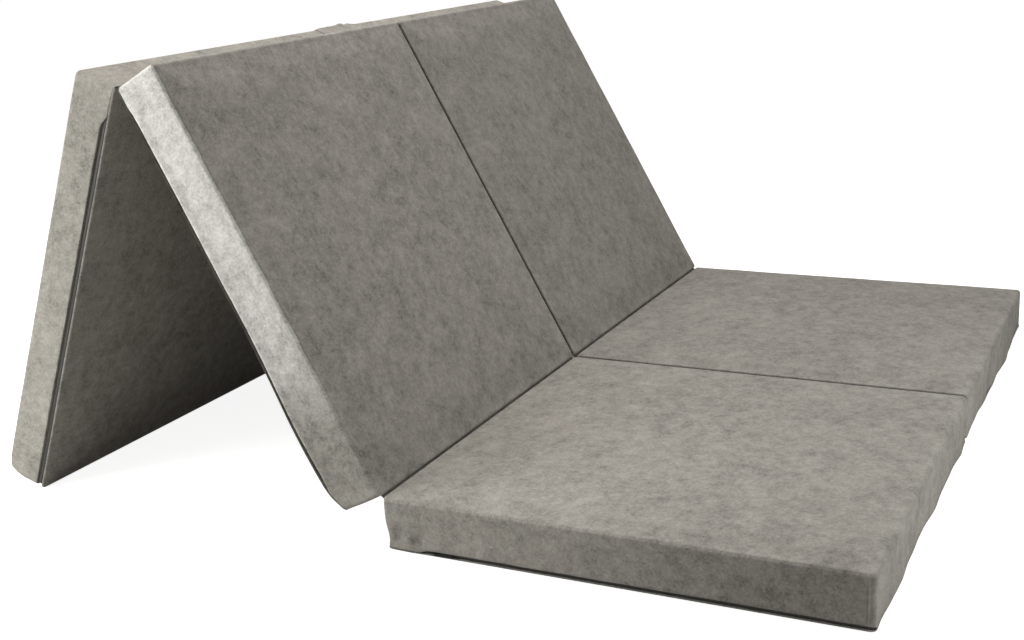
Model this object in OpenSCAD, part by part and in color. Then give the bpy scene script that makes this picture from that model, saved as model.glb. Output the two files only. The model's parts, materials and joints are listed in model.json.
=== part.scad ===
// Folding futon mattress: two columns of three zip-covered foam blocks.
// Each column folds in a Z, and the columns fold onto each other.
// Rest pose: seat flat on the floor, back leaning on the head block behind it.

/* [Foam block] */
// Length of one covered block, along the fold direction
block_length = 650; // [450:5:900]
// Width of one covered block, which is the width of a column
block_width = 650; // [450:5:900]
// Height of one covered block
block_height = 72; // [55:1:120]
// Radius of the upright corners
corner_radius = 12; // [12:1:40]
// Radius of the soft edge round the top panel
top_edge = 6; // [4:0.5:6]
// Radius of the edge round the base panel
base_edge = 3; // [2.5:0.5:3.5]

/* [Cover] */
// Thickness of the cover cloth
cloth = 1.2; // [0.8:0.1:2]
// Height to which the base panel turns up on the sides
lip_height = 4; // [4:0.5:10]
// Room between the foam and its cover
foam_room = 0.3; // [0.2:0.1:1]

/* [Folds] */
// Gap between blocks that lie flat, end to end
fold_gap = 2; // [1.5:0.5:6]
// Gap between the two columns
column_gap = 5; // [4:0.5:16]
// Slope of the back blocks at rest
back_slope = 61.5; // [50:0.5:70]
// Running clearance round each hinge
hinge_room = 0.3; // [0.2:0.1:0.6]
// Thickness of the fabric tape that joins the columns
join_tape = 1.2; // [0.8:0.1:1.6]
// Width of each leaf of that tape
join_leaf = 22; // [14:1:40]
// Radius of the rolled seam that the leaves turn on
join_roll = 1.4; // [1:0.1:1.7]

/* [Zip] */
// Height of the zip opening, over the lip
zip_height = 9; // [8.5:0.5:14]
// Depth of the zip tape's face below the cover
zip_depth = 4.5; // [4.3:0.1:6]
// Thickness of the zip tape
zip_tape = 1; // [0.6:0.1:1.4]
// Width of the closed coil
coil_width = 4; // [3:0.5:5]
// Height of the coil over the tape
coil_height = 1.2; // [0.8:0.1:1.4]
// Length of the bar tack at each end of a zip
tack = 5; // [3:0.5:10]
// Distance of the head zip's first end from the fold
head_zip_start = 50; // [35:1:120]
// Distance of the back zip's ends from the block's ends
back_zip_start = 45; // [35:1:120]
// Distance of the seat zip's first end from the fold
seat_zip_start = 62; // [35:1:120]
// Length of the head zip along the foot, measured from the outer side
head_end_zip = 520; // [200:5:600]
// Length of the seat zip along the front, measured from the outer side
seat_end_zip = 46; // [46:1:600]

/* [Zip slider] */
// Length of the slider body
slider_length = 12; // [10:0.5:16]
// Width of the slider body
slider_width = 7; // [6.5:0.5:8]
// Thickness of the slider's plate over the coil
slider_plate = 1; // [0.8:0.1:1.2]
// Clearance between slider and coil, and round the pull's bar
slider_room = 0.3; // [0.2:0.1:0.35]
// Diameter of the bar that the pull hangs on
bar_diameter = 1.2; // [1:0.1:1.4]
// Length of the pull tab
pull_length = 24; // [18:1:40]
// Width of the pull tab
pull_width = 6; // [5:0.5:8]
// Thickness of the pull tab
pull_thick = 1; // [0.8:0.1:1.2]

/* [Hidden] */
SIDES = ["left", "right"];
BLOCKS = ["head", "back", "seat"];
PIECES = ["foam", "cover", "base", "zip_tape", "zip_coil", "zip_tacks", "zip_slider", "zip_pull"];
SEAMS = ["apex_seam", "crease_seam", "join_tape"];

fabric = [0.56, 0.54, 0.50];
fabric_dark = [0.36, 0.34, 0.31];
zip_black = [0.12, 0.12, 0.12];
foam_yellow = [0.93, 0.90, 0.74];

eps = 0.01;
pitch = block_length + fold_gap;
half_fold = fold_gap / 2;
zip_top = lip_height + zip_height;
coil_mid = lip_height + zip_height / 2;
tape_back = zip_depth + zip_tape;

// The apex: the fold between back and head, at the base panels' edges
apex_x = -pitch * cos(back_slope) - block_height * sin(back_slope);
apex_z = block_height + pitch * sin(back_slope) - block_height * cos(back_slope);

// Slope of the head block, whose rounded foot stands on the floor
foot_run = block_length + half_fold;
function foot_lift(p) = base_edge * (sin(p) + cos(p) - 1);
function head_angle(n) =
    n == 0 ? asin(apex_z / foot_run)
           : let (p = head_angle(n - 1)) asin((apex_z + foot_lift(p)) / foot_run);
head_slope = head_angle(4);

// The frame's origin: middle of the footprint, on the floor
rear_x = apex_x - foot_run * cos(head_slope) - block_height * sin(head_slope);
front_x = half_fold + block_length;
origin_x = (rear_x + front_x) / 2;

// A rolled seam fills the groove between two rounded edges, less a running clearance
function groove(edge) = sqrt(pow(half_fold + edge, 2) + pow(edge, 2)) - edge - hinge_room;
apex_roll = groove(base_edge);
crease_roll = groove(top_edge);

// Axis of the fold that joins the columns, over the heads' top panels
join_axis = hinge_room + join_tape + join_roll - 0.8 * join_tape;

// Slider heights over the tape's face
plate_low = coil_height + slider_room;
plate_top = plate_low + slider_plate;
eye_inner = bar_diameter / 2 + slider_room;
eye_outer = eye_inner + 0.7;
bar_mid = plate_top + eye_outer + 0.2;
post_in = 2.2;
post_out = 3.2;

// ---- Placing -------------------------------------------------------------

// A block's own frame: x along the fold direction from one hinge line to the
// next, y from the outer long side inwards, z from base panel to top panel.
module in_column(side) {
    if (side == "left")
        translate([-origin_x, -block_width - column_gap / 2, 0]) children();
    else
        mirror([0, 1, 0])
            translate([-origin_x, -block_width - column_gap / 2, 0]) children();
}

module at_block(block, side) {
    in_column(side) {
        if (block == "seat") children();
        if (block == "back")
            translate([apex_x, 0, apex_z]) rotate([0, back_slope, 0]) children();
        if (block == "head")
            translate([apex_x, 0, apex_z]) rotate([0, -head_slope, 0])
                translate([-pitch, 0, 0]) children();
    }
}

// A head's zip turns the corner at its foot, so its zip frame runs the other way.
module in_zip_frame(block) {
    if (block == "head")
        translate([pitch, 0, 0]) mirror([1, 0, 0]) children();
    else
        children();
}

// ---- Shapes --------------------------------------------------------------

// A ring that rounds the panel's edge at one corner
module edge_ring(radius, edge, z) {
    translate([0, 0, z]) rotate_extrude($fn = 20)
        translate([radius - edge, 0]) circle(r = edge, $fn = 12);
}

// The block's outer form, pulled in by inset on every face
module block_form(inset) {
    r = corner_radius - inset;
    top_r = top_edge - inset;
    base_r = base_edge - inset;
    x0 = half_fold + inset + r;
    x1 = half_fold + block_length - inset - r;
    y0 = inset + r;
    y1 = block_width - inset - r;
    hull() {
        for (x = [x0, x1], y = [y0, y1]) translate([x, y, 0]) {
            edge_ring(r, top_r, block_height - inset - top_r);
            edge_ring(r, base_r, inset + base_r);
        }
    }
}

// Plan of the block, pulled in by inset
module plan(inset) {
    r = corner_radius - inset;
    l = block_length - 2 * inset;
    w = block_width - 2 * inset;
    translate([half_fold + inset, inset]) {
        translate([r, 0]) square([l - 2 * r, w]);
        translate([0, r]) square([l, w - 2 * r]);
        for (x = [r, l - r], y = [r, w - r]) translate([x, y]) circle(r = r, $fn = 48);
    }
}

// Stretch of the outline that a block's zip follows, from start to its end
module zip_reach(block, start) {
    reach = corner_radius + 2;
    far = half_fold + block_length;
    if (block == "back")
        translate([start, -1]) square([pitch - 2 * start, reach]);
    else {
        translate([start, -1]) square([far + 1 - start, reach]);
        translate([far - reach + 1, -1]) square([reach, end_zip(block) + 1]);
    }
}

function zip_start(block) =
    block == "head" ? head_zip_start : block == "back" ? back_zip_start : seat_zip_start;
function end_zip(block) = block == "head" ? head_end_zip : seat_end_zip;

// A band that follows the zip: z from low to high, depth from outer to inner
module zip_band(block, low, high, outer, inner, extra = 0) {
    in_zip_frame(block) translate([0, 0, low]) linear_extrude(high - low)
        intersection() {
            difference() {
                plan(outer);
                plan(inner);
            }
            zip_reach(block, zip_start(block) - extra);
        }
}

// ---- Pieces of one block ---------------------------------------------------

module foam(block) {
    color(foam_yellow) difference() {
        block_form(cloth + foam_room);
        zip_band(block, lip_height - cloth - foam_room, zip_top + cloth + foam_room,
                 0, tape_back + foam_room, tack);
    }
}

// Top panel and boxing, with the hem turned in over the zip
module cover(block) {
    color(fabric) {
        difference() {
            block_form(0);
            block_form(cloth);
            translate([-pitch, -pitch, -eps]) cube([3 * pitch, 3 * pitch, lip_height + eps]);
            zip_band(block, 0, zip_top, -1, tape_back);
        }
        zip_band(block, zip_top, zip_top + cloth, cloth / 2, zip_depth);
    }
}

// Base panel with its lip turned up on the sides, and the hem under the zip
module base(block) {
    color(fabric_dark) {
        difference() {
            block_form(0);
            block_form(cloth);
            translate([-pitch, -pitch, lip_height])
                cube([3 * pitch, 3 * pitch, block_height]);
        }
        zip_band(block, lip_height - cloth, lip_height, cloth / 2, zip_depth);
    }
}

module zip_tape(block) {
    color(zip_black)
        zip_band(block, lip_height - cloth, zip_top + cloth, zip_depth, tape_back);
}

module zip_coil(block) {
    color(zip_black) difference() {
        zip_band(block, coil_mid - coil_width / 2, coil_mid + coil_width / 2,
                 zip_depth - coil_height, zip_depth);
        zip_ends(block, 0);
    }
}

// The stitched bars that close each end of the zip opening
module zip_tacks(block) {
    color(zip_black) intersection() {
        zip_band(block, lip_height, zip_top, cloth / 2, zip_depth);
        zip_ends(block, eps);
    }
}

// Room of the bar tacks at both ends of the run, grown past the band by over
module zip_ends(block, over) {
    start = zip_start(block);
    far = half_fold + block_length;
    in_zip_frame(block) {
        translate([start - over, -1, lip_height - over])
            cube([tack + over, zip_depth + 2, zip_height + 2 * over]);
        if (block == "back")
            translate([pitch - start - tack, -1, lip_height - over])
                cube([tack + over, zip_depth + 2, zip_height + 2 * over]);
        else
            translate([far - zip_depth - 1, end_zip(block) - tack, lip_height - over])
                cube([zip_depth + 2, tack + over, zip_height + 2 * over]);
    }
}

// ---- Slider and pull -------------------------------------------------------

// Slider frame: x along the zip, z out of the tape's face, origin on the coil
module at_slider(block) {
    far = half_fold + block_length;
    parked = tack + (block == "back" ? pull_length + pull_width : slider_length);
    if (block == "head")
        in_zip_frame(block) translate([far - zip_depth, head_end_zip - parked, coil_mid])
            rotate([0, 90, 0]) rotate([0, 0, -90]) children();
    if (block == "back")
        translate([pitch - back_zip_start - parked, zip_depth, coil_mid])
            rotate([90, 0, 0]) children();
    if (block == "seat")
        translate([seat_zip_start + parked, zip_depth, coil_mid])
            rotate([90, 0, 0]) children();
}

module zip_slider(block) {
    nose = slider_width / 2;
    color(zip_black) at_slider(block) {
        difference() {
            translate([0, 0, slider_room]) linear_extrude(plate_top - slider_room) {
                translate([nose - slider_length / 2, 0]) circle(r = nose, $fn = 32);
                translate([nose - slider_length / 2, 1 - nose])
                    square([slider_length - nose, slider_width - 2]);
            }
            translate([-slider_length, -coil_width / 2 - slider_room, -1])
                cube([2 * slider_length, coil_width + 2 * slider_room, 1 + plate_low]);
        }
        for (s = [-1, 1]) translate([0, s * (post_in + post_out) / 2, plate_top - eps])
            translate([-1.5, (post_in - post_out) / 2, 0])
                cube([3, post_out - post_in, bar_mid - plate_top + bar_diameter / 2 + 0.3]);
        translate([0, post_in + 0.2, bar_mid]) rotate([90, 0, 0])
            cylinder(h = 2 * post_in + 0.4, d = bar_diameter, $fn = 24);
    }
}

module zip_pull(block) {
    eye_half = post_in - slider_room;
    tab_start = post_out;
    color(zip_black) at_slider(block) translate([0, 0, bar_mid]) difference() {
        union() {
            translate([0, eye_half, 0]) rotate([90, 0, 0])
                cylinder(h = 2 * eye_half, r = eye_outer, $fn = 32);
            translate([eye_inner, -eye_half, -pull_thick / 2])
                cube([tab_start, 2 * eye_half, pull_thick]);
            translate([tab_start, 0, -pull_thick / 2]) linear_extrude(pull_thick)
                difference() {
                    union() {
                        translate([0, -pull_width / 2])
                            square([pull_length - pull_width / 2, pull_width]);
                        translate([pull_length - pull_width / 2, 0])
                            circle(d = pull_width, $fn = 32);
                    }
                    translate([pull_length - pull_width / 2, 0])
                        circle(d = pull_width / 3, $fn = 24);
                }
        }
        translate([0, post_out, 0]) rotate([90, 0, 0])
            cylinder(h = 2 * post_out, r = eye_inner, $fn = 24);
    }
}

// ---- Hinges ----------------------------------------------------------------

module rolled_seam(radius) {
    translate([0, block_width - corner_radius, 0]) rotate([90, 0, 0])
        cylinder(h = block_width - 2 * corner_radius, r = radius, $fn = 32);
}

// Seam between back and head, at the base panels' edges
module apex_seam(side) {
    color(fabric_dark) in_column(side) translate([apex_x, 0, apex_z])
        rolled_seam(apex_roll);
}

// Seam between seat and back, at the top panels' edges
module crease_seam(side) {
    color(fabric_dark) in_column(side) translate([0, 0, block_height])
        rolled_seam(crease_roll);
}

// Leaf of the fabric tape sewn along the heads' top panels. The left leaf
// carries the rolled seam, and the right leaf stops short of it.
module join_tape(side) {
    inner = side == "left" ? 0 : join_roll + 2 * hinge_room;
    run = block_length - 2 * corner_radius;
    color(fabric) at_block("head", side)
        translate([half_fold + corner_radius, block_width + column_gap / 2, block_height]) {
            translate([0, -column_gap / 2 - join_leaf, hinge_room])
                cube([run, column_gap / 2 + join_leaf - inner, join_tape]);
            if (side == "left")
                translate([0, 0, join_axis]) rotate([0, 90, 0])
                    cylinder(h = run, r = join_roll, $fn = 32);
        }
}

// ---- The part --------------------------------------------------------------

module piece(block, side, name) {
    at_block(block, side) {
        if (name == "foam") foam(block);
        if (name == "cover") cover(block);
        if (name == "base") base(block);
        if (name == "zip_tape") zip_tape(block);
        if (name == "zip_coil") zip_coil(block);
        if (name == "zip_tacks") zip_tacks(block);
        if (name == "zip_slider") zip_slider(block);
        if (name == "zip_pull") zip_pull(block);
    }
}

for (s = SIDES) {
    for (b = BLOCKS) for (p = PIECES)
        piece(b, s, p);
    apex_seam(s);
    crease_seam(s);
    join_tape(s);
}
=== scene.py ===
"""Looks of the folding futon mattress: soft covers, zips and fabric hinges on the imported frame."""
import json
import math

import bpy
import numpy as np
from mathutils import Matrix, Vector, noise


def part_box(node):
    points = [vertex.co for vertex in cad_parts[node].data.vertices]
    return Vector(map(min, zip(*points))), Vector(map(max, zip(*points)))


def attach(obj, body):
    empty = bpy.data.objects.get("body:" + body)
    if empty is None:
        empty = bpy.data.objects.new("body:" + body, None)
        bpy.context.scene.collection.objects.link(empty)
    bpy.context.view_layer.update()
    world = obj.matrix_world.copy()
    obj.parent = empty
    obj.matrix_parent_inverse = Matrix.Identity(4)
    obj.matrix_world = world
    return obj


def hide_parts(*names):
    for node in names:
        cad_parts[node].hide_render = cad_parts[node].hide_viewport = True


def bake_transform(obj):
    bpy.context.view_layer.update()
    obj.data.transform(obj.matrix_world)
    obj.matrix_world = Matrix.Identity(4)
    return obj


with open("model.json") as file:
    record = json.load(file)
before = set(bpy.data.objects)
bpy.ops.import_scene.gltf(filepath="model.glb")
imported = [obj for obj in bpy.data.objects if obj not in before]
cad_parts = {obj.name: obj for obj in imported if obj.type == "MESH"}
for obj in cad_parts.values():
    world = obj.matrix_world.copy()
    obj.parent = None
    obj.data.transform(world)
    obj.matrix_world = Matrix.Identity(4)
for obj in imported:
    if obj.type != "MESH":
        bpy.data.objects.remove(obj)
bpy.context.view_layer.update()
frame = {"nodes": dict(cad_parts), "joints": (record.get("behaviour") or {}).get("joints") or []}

JOINTS = {joint["name"]: joint for joint in frame["joints"]}

# ---- Sizes, in metres, from the frame where it has them ----------------------

SEAT_LOW, SEAT_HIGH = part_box("seat_left_cover")
LENGTH = SEAT_HIGH[0] - SEAT_LOW[0]
WIDTH = SEAT_HIGH[1] - SEAT_LOW[1]
HEIGHT = SEAT_HIGH[2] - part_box("seat_left_base")[0][2]
CREASE = Vector(JOINTS["crease_left"]["pos_m"])
APEX = Vector(JOINTS["apex_left"]["pos_m"])
JOIN_AXIS = Vector(JOINTS["column_join"]["axis"])
END_GAP = SEAT_LOW[0] - CREASE.x
PITCH = LENGTH + 2 * END_GAP
COLUMN_GAP = 2 * abs(SEAT_HIGH[1])

# The cloth's edges and corners, and the zips, the joining tape and the foam, which the frame doesn't give
CORNER = 0.008
TOP_EDGE = 0.006
BASE_EDGE = 0.003
LIP = 0.004
ZIP_TOP = LIP + 0.009
ZIP_MIDDLE = (LIP + ZIP_TOP) / 2
ZIP_DEPTH = 0.0045
HEM = 0.0012
ZIP_STARTS = {"head": 0.050, "back": 0.045, "seat": 0.062}
ZIP_ENDS = {"head": 0.520, "seat": 0.046}
ZIP_TAPE = 0.001
COIL_WIDTH = 0.004
COIL_HEIGHT = 0.0012
COIL_PITCH = 0.0016
TACK = 0.005
SLIDER_WIDTH = 0.007
JOIN_LEAF = 0.022
FOAM_ROOM = 0.010
FOAM_EDGE = 0.008
# Where each block's lip ends and its hem starts beside the zip; a loaded lip is pressed low
LIPS = {"head": LIP, "back": 0.0016, "seat": 0.0018}
HEMS = {"head": ZIP_TOP, "back": 0.0052, "seat": 0.0064}
# The middle of the slit between them, where the coil shows
SLITS = {block: (LIPS[block] + HEMS[block]) / 2 for block in LIPS}
# How deep the cloth is turned in at the seam between cover and base, and what it keeps free at the zip
SEAM_DEPTH = 0.0022
HEM_ROOM = 0.0002
# The turned-in hems, row by row: how far in, as a length and as a share of the depth, and how far up
COVER_HEM = ((0.0006, 0, 0), (0, 0.5, 0.0002), (0, 1, 0.0003), (0, 1, 0.0012))
BASE_HEM = ((0, 0, -0.0006), (0.0006, 0, -0.0002), (0, 0.5, -0.0002), (0, 1, -0.0003), (0, 1, -0.0008))

# Steps of the covers' grids: over a panel, and beside its seams
GRID_STEP = 0.009
SEAM_STEP = 0.0014
# How far a panel stands proud of its block before the cloth simulation, and how far that may move it
RISE = 0.0015
CROWN = 0.003
SIDE_CROWN = 0.0016

SIDE_STARTS = {"left": SEAT_LOW[1], "right": COLUMN_GAP / 2}

# ---- Block frames -------------------------------------------------------------


def back_slope():
    """Slope of the back blocks, from the apex and the crease that they run between."""
    run = CREASE - APEX
    return math.atan2(HEIGHT, PITCH) - math.atan2(run.z, run.x)


def block_matrix(block, side):
    """A block's own frame: x from one hinge line to the next, y across, z from base to top panel."""
    y = SIDE_STARTS[side]
    if block == "seat":
        return Matrix.Translation((CREASE.x, y, 0))
    apex = Matrix.Translation((APEX.x, y, APEX.z))
    if block == "back":
        return apex @ Matrix.Rotation(back_slope(), 4, "Y")
    slope = math.atan2(JOIN_AXIS.z, JOIN_AXIS.x)
    return apex @ Matrix.Rotation(-slope, 4, "Y") @ Matrix.Translation((-PITCH, 0, 0))


# ---- Meshes of one block --------------------------------------------------------


def grid_lines(length, radius):
    """Places of the grid lines across a panel: fine at its corners and seams, even between."""
    start = [radius * k / 3 for k in range(4)] + [radius + SEAM_STEP, radius + 2 * SEAM_STEP]
    low, high = start[-1], length - start[-1]
    count = max(4, round((high - low) / GRID_STEP))
    middle = [low + (high - low) * k / count for k in range(1, count)]
    return np.array(start + middle + [length - s for s in reversed(start)])


def rounded_plan(u, v, length, width, radius):
    """Moves grid points near a panel's square corners onto round ones."""
    du = np.maximum(radius - np.minimum(u, length - u), 0) / radius
    dv = np.maximum(radius - np.minimum(v, width - v), 0) / radius
    mu = radius * (du * np.sqrt(1 - dv**2 / 2) - du)
    mv = radius * (dv * np.sqrt(1 - du**2 / 2) - dv)
    return u - mu * np.sign(length / 2 - u), v - mv * np.sign(width / 2 - v)


class Panel:
    """A panel's grid and its rim, in the block's plan. The rim runs once round, from x low, y low."""

    def __init__(self, inset):
        length, width = LENGTH - 2 * inset, WIDTH - 2 * inset
        radius = CORNER - inset
        lines_x, lines_y = grid_lines(length, radius), grid_lines(width, radius)
        self.nx, self.ny = len(lines_x), len(lines_y)
        u, v = np.meshgrid(lines_x, lines_y, indexing="ij")
        x, y = rounded_plan(u, v, length, width, radius)
        self.x, self.y = x + END_GAP + inset, y + inset
        self.u, self.v = u / length, v / width
        ring = [(i, 0) for i in range(self.nx)]
        ring += [(self.nx - 1, j) for j in range(1, self.ny)]
        ring += [(i, self.ny - 1) for i in range(self.nx - 2, -1, -1)]
        ring += [(0, j) for j in range(self.ny - 2, 0, -1)]
        self.ring = np.array(ring)
        ri, rj = self.ring[:, 0], self.ring[:, 1]
        self.rim_x, self.rim_y = self.x[ri, rj], self.y[ri, rj]
        cx = np.clip(self.rim_x, END_GAP + CORNER, END_GAP + LENGTH - CORNER)
        cy = np.clip(self.rim_y, CORNER, WIDTH - CORNER)
        out = np.stack([self.rim_x - cx, self.rim_y - cy], 1)
        self.out = out / np.linalg.norm(out, axis=1)[:, None]

    def quads(self, up):
        """Faces of the grid, wound to face up or down."""
        i, j = np.meshgrid(np.arange(self.nx - 1), np.arange(self.ny - 1), indexing="ij")
        a = (i * self.ny + j).ravel()
        faces = np.stack([a, a + self.ny, a + self.ny + 1, a + 1], 1)
        return faces if up else faces[:, ::-1]


def zip_share(block, x, y):
    """1 where the block's zip opening runs past (x, y) of the outline, 0 elsewhere, soft at the ends."""
    start = ZIP_STARTS[block]
    soft = 0.004
    if block == "head":
        x = PITCH - x
    near = y < CORNER
    if block == "back":
        inside = np.minimum(x - start, PITCH - start - x)
        return np.where(near, np.clip(inside / soft, 0, 1), 0)
    far = PITCH - END_GAP - CORNER
    if block == "seat":
        inside = np.minimum(x - start, far + CORNER / 2 - x)
        return np.where(near, np.clip(inside / soft, 0, 1), 0)
    on_end = x > far
    along = np.where(on_end, ZIP_ENDS[block] - y, x - start)
    return np.where(near | on_end, np.clip(along / soft, 0, 1), 0)


def shell(panel, z0, rows, up):
    """A panel with rows of points below or above its rim. rows holds (out, z) arrays, round the rim."""
    flat = np.stack([panel.x.ravel(), panel.y.ravel(), np.full(panel.x.size, z0)], 1)
    points, faces = [flat], [panel.quads(up)]
    last = panel.ring[:, 0] * panel.ny + panel.ring[:, 1]
    total, n = len(flat), len(panel.ring)
    for out, z in rows:
        x = panel.rim_x + panel.out[:, 0] * out
        y = panel.rim_y + panel.out[:, 1] * out
        points.append(np.stack([x, y, z + np.zeros(n)], 1))
        here = total + np.arange(n)
        band = np.stack([last, here, np.roll(here, -1), np.roll(last, -1)], 1)
        faces.append(band if up else band[:, ::-1])
        last, total = here, total + n
    return np.concatenate(points), np.concatenate(faces)


def edge_sharpness(block, x, y):
    """0 on the soft edges of the top panel, 1 where a neighbour's seam or side pulls the edge tight."""
    inner = np.clip((y - WIDTH + CORNER) / CORNER, 0, 1)
    if block == "seat":
        return np.maximum(inner, np.clip((END_GAP + CORNER - x) / CORNER, 0, 1))
    if block == "back":
        return np.maximum(inner, np.clip((x - PITCH + END_GAP + CORNER) / CORNER, 0, 1))
    return inner


def tuck_depth(opening):
    """How far the cloth's edge is turned in: a little at a seam, and to the tape at the zip."""
    return SEAM_DEPTH + (ZIP_DEPTH - SEAM_DEPTH - HEM_ROOM) * opening


def cover_points(block):
    """The top panel and boxing, with the hem turned in over the zip and a tucked seam elsewhere."""
    seam_turn, seam_tuck, seam_room, tightening = 0.5, 0.0004, 0.0004, 0.6
    panel = Panel(TOP_EDGE)
    opening = zip_share(block, panel.rim_x, panel.rim_y)
    outline = np.stack([panel.rim_x, panel.rim_y], 1) + TOP_EDGE * panel.out
    power = 1 - tightening * edge_sharpness(block, outline[:, 0], outline[:, 1])
    low = LIPS[block] + seam_room + (HEMS[block] - LIPS[block]) * opening
    rows = []
    for turn in (0.2, 0.4, seam_turn, 0.6, 0.8, 1.0):
        angle = turn * math.pi / 2
        tuck = seam_tuck if turn == seam_turn else 0
        drop = TOP_EDGE * (1 - max(0, math.cos(angle)) ** power)
        rows.append((TOP_EDGE * math.sin(angle) ** power - tuck, HEIGHT - drop - tuck))
    top = HEIGHT - TOP_EDGE
    for share in (0.16, 0.32, 0.48, 0.64, 0.78, 0.9, 0.97):
        rows.append((TOP_EDGE, top + (low - top) * share))
    depth = tuck_depth(opening)
    rows += [(TOP_EDGE - inward - share * depth, low + up) for inward, share, up in COVER_HEM]
    points, faces = shell(panel, HEIGHT, rows, True)
    return panel, points, faces


def base_points(block):
    """The base panel with its lip turned up and tucked in."""
    panel = Panel(BASE_EDGE)
    lip, upright = LIPS[block], 0.0008
    edge = min(BASE_EDGE, lip - upright)
    rows = []
    for turn in (0.25, 0.5, 0.75, 1.0):
        angle = turn * math.pi / 2
        rows.append((BASE_EDGE * math.sin(angle), edge * (1 - math.cos(angle))))
    depth = tuck_depth(zip_share(block, panel.rim_x, panel.rim_y))
    rows += [(BASE_EDGE - inward - share * depth, lip + up) for inward, share, up in BASE_HEM]
    points, faces = shell(panel, 0.0, rows, False)
    return panel, points, faces


def add_object(name, data):
    """A new object in the scene."""
    made = bpy.data.objects.new(name, data)
    bpy.context.scene.collection.objects.link(made)
    return made


def new_piece(name, points, faces, block, side, smooth=True):
    """A mesh object in its block's frame. A right-hand block is the left one turned over in y."""
    points = np.array(points, float)
    if side == "right":
        points[:, 1] = WIDTH - points[:, 1]
        faces = [list(reversed(f)) for f in faces]
    mesh = bpy.data.meshes.new(name)
    mesh.from_pydata(points.tolist(), [], [list(map(int, f)) for f in faces])
    mesh.validate()
    mesh.update()
    if smooth:
        mesh.shade_smooth()
    piece = add_object(name, mesh)
    piece.matrix_world = block_matrix(block, side)
    bpy.context.view_layer.update()
    return piece


def coords(piece):
    """The piece's points, in its own frame."""
    flat = np.empty(len(piece.data.vertices) * 3)
    piece.data.vertices.foreach_get("co", flat)
    return flat.reshape(-1, 3)


def vertex_normals(piece):
    """The normals at the piece's points."""
    flat = np.empty(len(piece.data.vertices) * 3)
    piece.data.vertices.foreach_get("normal", flat)
    return flat.reshape(-1, 3)


def set_coords(piece, points):
    """Moves the piece's points."""
    piece.data.vertices.foreach_set("co", points.ravel())
    piece.data.update()


def apply_modifiers(piece):
    """Replaces the piece's mesh by what its modifiers make of it."""
    graph = bpy.context.evaluated_depsgraph_get()
    done = bpy.data.meshes.new_from_object(piece.evaluated_get(graph), depsgraph=graph)
    old = piece.data
    piece.modifiers.clear()
    piece.data = done
    bpy.data.meshes.remove(old)


def subdivide(piece):
    """Rounds the piece's mesh with one subdivision."""
    modifier = piece.modifiers.new("smooth", "SUBSURF")
    modifier.levels = 1
    apply_modifiers(piece)


def puff(piece, held):
    """Blows the cover up with a short cloth simulation. held are the points of its hem, which stay."""
    steps = 16
    before = coords(piece).copy()
    group = piece.vertex_groups.new(name="hem")
    group.add([int(v) for v in held], 1.0, "REPLACE")
    cloth = piece.modifiers.new("cloth", "CLOTH")
    cloth.settings.quality = 5
    cloth.settings.mass = 0.25
    cloth.settings.tension_stiffness = 18
    cloth.settings.compression_stiffness = 18
    cloth.settings.shear_stiffness = 8
    cloth.settings.bending_stiffness = 2.0
    cloth.settings.use_pressure = True
    cloth.settings.uniform_pressure_force = 3.0
    cloth.settings.effector_weights.gravity = 0
    cloth.settings.vertex_group_mass = "hem"
    cloth.settings.pin_stiffness = 1.0
    cloth.collision_settings.use_self_collision = False
    cloth.point_cache.frame_start, cloth.point_cache.frame_end = 1, steps
    scene = bpy.context.scene
    for number in range(1, steps + 1):
        scene.frame_set(number)
    apply_modifiers(piece)
    scene.frame_set(1)
    piece.vertex_groups.clear()
    set_coords(piece, before + kept_swelling(before, coords(piece) - before))


def kept_swelling(before, move):
    """What the cover keeps of the simulation's move: its crown, and little at its edges and sides."""
    nothing, rim, rim_share, side_share = 1e-9, 0.04, 0.1, 0.3
    wall_depth, wall_top, wall_dent, wall_drop = 0.0008, 0.004, 0.0002, 0.15
    far = np.linalg.norm(move, axis=1)
    move *= (CROWN * np.tanh(far / CROWN) / np.maximum(far, nothing))[:, None]
    ends = np.minimum(before[:, 0] - END_GAP, PITCH - END_GAP - before[:, 0])
    inside = np.minimum(ends, np.minimum(before[:, 1], WIDTH - before[:, 1]))
    freedom = rim_share + (1 - rim_share) * np.clip(inside / rim, 0, 1)
    walls = (inside < wall_depth) & (before[:, 2] < HEIGHT - TOP_EDGE - wall_top)
    outward = np.sign(before[:, :2] - np.array([PITCH / 2, WIDTH / 2]))
    bulge = np.clip(move[:, :2] * outward, -wall_dent, SIDE_CROWN) * outward
    move[:, :2] = np.where(walls[:, None], bulge, move[:, :2] * freedom[:, None] * side_share)
    move[:, 2] *= np.where(walls, wall_drop, freedom)
    return move


def ripple(points, seed, scale, stretch=(1, 1, 1)):
    """Smooth noise from -1 to 1 at each point. scale is how many features there are in a metre."""
    shift = Vector((seed * 3.71, seed * 1.93, seed * 5.17))
    grow = np.array(stretch) * scale
    return np.array([noise.noise(Vector(p) + shift) for p in points * grow])


def furrow(points, a, b, width, depth):
    """A soft valley, or a ridge if depth is negative, along the line from a to b."""
    a, b = np.array(a), np.array(b)
    along = np.clip(((points - a) @ (b - a)) / ((b - a) @ (b - a)), 0, 1)
    away = np.linalg.norm(points - (a + along[:, None] * (b - a)), axis=1)
    fade = np.sin(np.pi * np.clip(along * 0.9 + 0.1, 0, 1))
    return -depth * np.exp(-((away / width) ** 2)) * fade


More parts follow.
